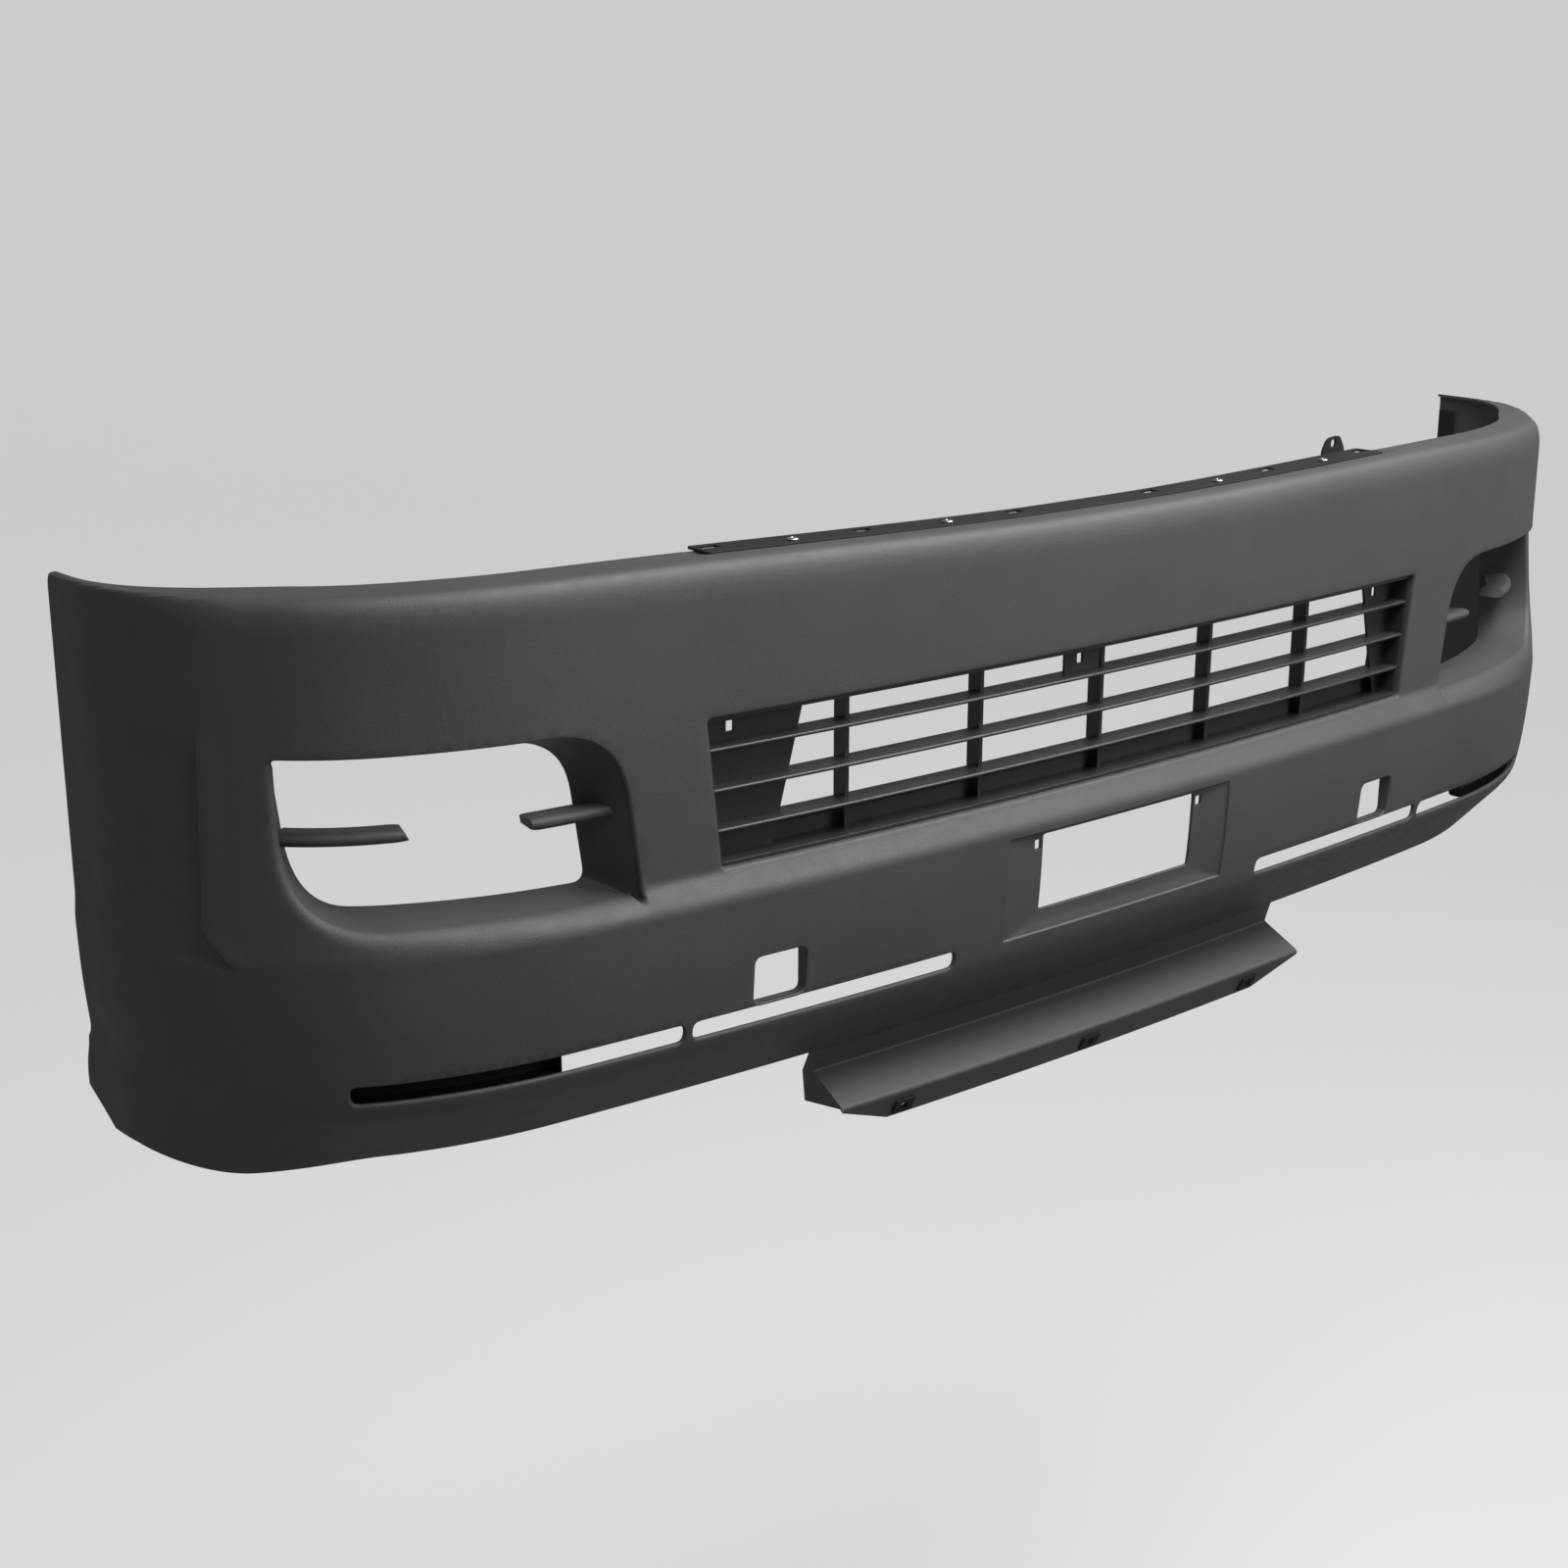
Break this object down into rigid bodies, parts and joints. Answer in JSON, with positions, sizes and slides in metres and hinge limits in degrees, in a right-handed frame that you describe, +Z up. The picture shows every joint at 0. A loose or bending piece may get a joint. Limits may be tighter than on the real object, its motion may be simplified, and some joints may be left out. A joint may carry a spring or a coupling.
{
  "type": "front bumper cover",
  "caption": "Wide-body van front bumper cover: thin moulded shell with fog lamp pockets, slatted lower grille, number plate recess, lower intake slots and a folded lower apron.",
  "frame": {"origin": "on the top face of the upper retainer strip, at the centre line", "axes": "+X from the viewer's left to right when the cover is seen from the road, along the vehicle's width; -Y towards the road ahead, so the wings run back along +Y; +Z up"},
  "size_m": [1.8848, 0.3396, 0.5944],
  "materials": {
    "grey_plastic": "unpainted charcoal grey polypropylene, fine moulded grain, satin",
    "black_plastic": "black polypropylene, matt",
    "slat_plastic": "dark grey polypropylene, satin",
    "zinc_steel": "zinc-plated spring steel"
  },
  "bodies": {
    "root": {"bumper_cover": "grey_plastic", "upper_retainer": "black_plastic", "upper_bracket": "black_plastic", "lower_grille": "slat_plastic", "lower_apron": "grey_plastic", "fog_pocket_left": "grey_plastic", "slot_liner_left": "black_plastic", "side_retainer_left": "black_plastic", "pocket_push_nut_left_1": "zinc_steel", "pocket_push_nut_left_2": "zinc_steel", "pocket_push_nut_left_3": "zinc_steel", "liner_push_nut_left_1": "zinc_steel", "liner_push_nut_left_2": "zinc_steel", "side_push_nut_left_1": "zinc_steel", "side_push_nut_left_2": "zinc_steel", "side_push_nut_left_3": "zinc_steel", "fog_pocket_right": "grey_plastic", "slot_liner_right": "black_plastic", "side_retainer_right": "black_plastic", "pocket_push_nut_right_1": "zinc_steel", "pocket_push_nut_right_2": "zinc_steel", "pocket_push_nut_right_3": "zinc_steel", "liner_push_nut_right_1": "zinc_steel", "liner_push_nut_right_2": "zinc_steel", "side_push_nut_right_1": "zinc_steel", "side_push_nut_right_2": "zinc_steel", "side_push_nut_right_3": "zinc_steel", "retainer_rivet_1": "zinc_steel", "retainer_rivet_2": "zinc_steel", "retainer_rivet_3": "zinc_steel", "retainer_rivet_4": "zinc_steel", "grille_screw_1": "zinc_steel", "grille_screw_2": "zinc_steel", "grille_screw_3": "zinc_steel", "grille_screw_4": "zinc_steel", "apron_clip_nut_1": "black_plastic", "apron_clip_nut_2": "black_plastic", "apron_clip_nut_3": "black_plastic", "apron_push_nut_1": "zinc_steel", "apron_push_nut_2": "zinc_steel", "apron_push_nut_3": "zinc_steel", "apron_push_nut_4": "zinc_steel"}
  },
  "joints": []
}
